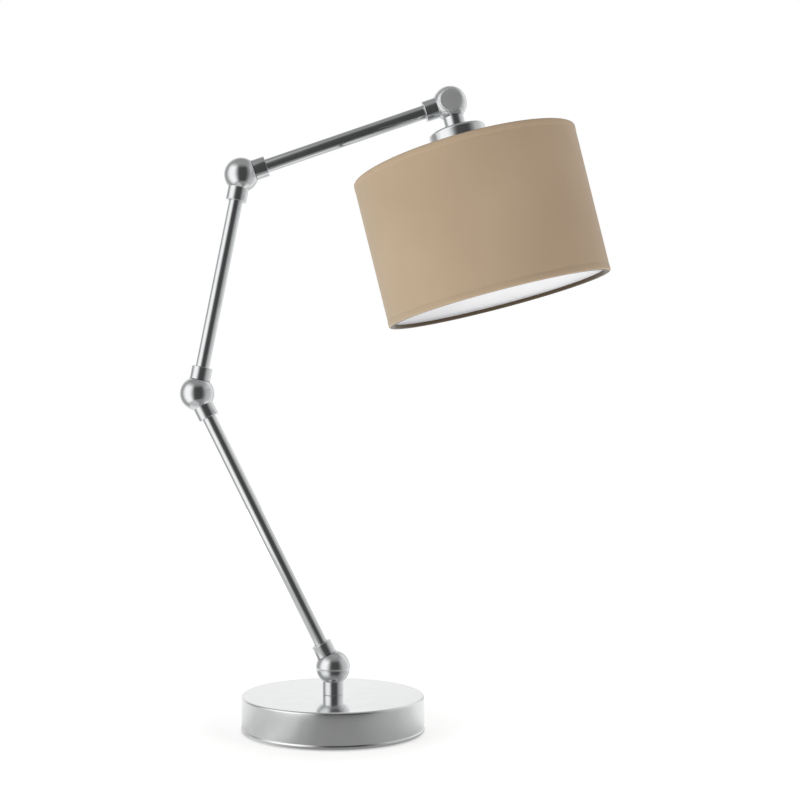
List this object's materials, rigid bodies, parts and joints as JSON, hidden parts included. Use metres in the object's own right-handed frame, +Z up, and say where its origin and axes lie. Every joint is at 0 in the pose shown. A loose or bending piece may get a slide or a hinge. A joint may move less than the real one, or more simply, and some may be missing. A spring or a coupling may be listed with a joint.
{
  "type": "adjustable desk lamp",
  "caption": "Desk lamp on a round weighted base, with jointed tubular arms, ball knuckles and a tilting drum shade in lined fabric.",
  "frame": {"origin": "centre of the underside of the base pad, on the table", "axes": "+Z up, +X towards the shade, +Y to the back; the arms lie in the plane y = 0"},
  "size_m": [0.3762, 0.1984, 0.5648],
  "materials": {
    "satin_nickel": "satin nickel plate",
    "polished_nickel": "polished nickel plate",
    "cast_weight": "as cast, painted",
    "zinc_steel": "zinc plated",
    "brass": "plain",
    "base_foam": "matt",
    "grommet_rubber": "matt",
    "terminal_plastic": "moulded",
    "friction_plastic": "smooth",
    "lead_sheath": "smooth sheath",
    "holder_plastic": "moulded, heat resistant",
    "holder_ceramic": "glazed",
    "frame_wire": "white powder coat",
    "bulb_glass": "opal",
    "bulb_metal": "plain",
    "shade_cloth": "plain weave, taupe",
    "shade_lining": "white styrene laminate"
  },
  "bodies": {
    "base": {"base_cover": "polished_nickel", "base_weight": "cast_weight", "base_pad": "base_foam", "earth_screw": "zinc_steel", "cord_grommet": "grommet_rubber", "terminal_block": "terminal_plastic", "terminal_screws": "zinc_steel", "base_lead": "lead_sheath"},
    "post": {"post_knuckle": "satin_nickel", "post_nipple": "zinc_steel", "post_lock_washer": "zinc_steel", "post_lock_nut": "zinc_steel", "post_lead": "lead_sheath", "lower_pivot_screw": "zinc_steel", "lower_pivot_wave_washer": "zinc_steel", "lower_pivot_friction_washer": "friction_plastic"},
    "lower_arm": {"lower_arm_near_knuckle": "satin_nickel", "lower_arm_tube": "satin_nickel", "lower_arm_far_knuckle": "satin_nickel", "lower_arm_lead": "lead_sheath", "lower_pivot_cap": "satin_nickel", "middle_pivot_screw": "zinc_steel", "middle_pivot_wave_washer": "zinc_steel", "middle_pivot_friction_washer": "friction_plastic"},
    "middle_arm": {"middle_arm_near_knuckle": "satin_nickel", "middle_arm_tube": "satin_nickel", "middle_arm_far_knuckle": "satin_nickel", "middle_arm_lead": "lead_sheath", "middle_pivot_cap": "satin_nickel", "upper_pivot_screw": "zinc_steel", "upper_pivot_wave_washer": "zinc_steel", "upper_pivot_friction_washer": "friction_plastic"},
    "upper_arm": {"upper_arm_near_knuckle": "satin_nickel", "upper_arm_tube": "satin_nickel", "upper_arm_far_knuckle": "satin_nickel", "upper_arm_lead": "lead_sheath", "upper_pivot_cap": "satin_nickel", "head_pivot_cap": "satin_nickel"},
    "head": {"neck_knuckle": "satin_nickel", "head_pivot_screw": "zinc_steel", "head_pivot_wave_washer": "zinc_steel", "head_pivot_friction_washer": "friction_plastic", "neck_nipple": "zinc_steel", "neck_nut": "zinc_steel", "neck_lead": "lead_sheath", "lampholder_cup": "satin_nickel", "lampholder_body": "holder_plastic", "lampholder_insert": "holder_ceramic", "lampholder_screw_shell": "brass", "centre_contact": "brass", "shade_clamp_ring": "holder_plastic", "bulb_globe": "bulb_glass", "bulb_cap": "bulb_metal", "shade_spider": "frame_wire", "shade_bottom_wire": "frame_wire", "shade_fabric": "shade_cloth", "shade_liner": "shade_lining"}
  },
  "joints": [
    {"name": "base_swivel", "type": "hinge", "parent": "base", "child": "post", "pos_m": [0, 0, 0.031], "axis": [0, 0, 1], "range_deg": [-170, 170]},
    {"name": "lower_knuckle", "type": "hinge", "parent": "post", "child": "lower_arm", "pos_m": [0, 0, 0.0546], "axis": [0, 1, 0], "range_deg": [-68.6, 121.4]},
    {"name": "middle_knuckle", "type": "hinge", "parent": "lower_arm", "child": "middle_arm", "pos_m": [-0.11934, 0, 0.29501], "axis": [0, -1, 0], "range_deg": [-62.2, 137.8]},
    {"name": "upper_knuckle", "type": "hinge", "parent": "middle_arm", "child": "upper_arm", "pos_m": [-0.0806, 0, 0.48714], "axis": [0, 1, 0], "range_deg": [-159.7, 40.3]},
    {"name": "head_knuckle", "type": "hinge", "parent": "upper_arm", "child": "head", "pos_m": [0.10256, 0, 0.54985], "axis": [0, -1, 0], "range_deg": [-5.1, 194.9]}
  ]
}
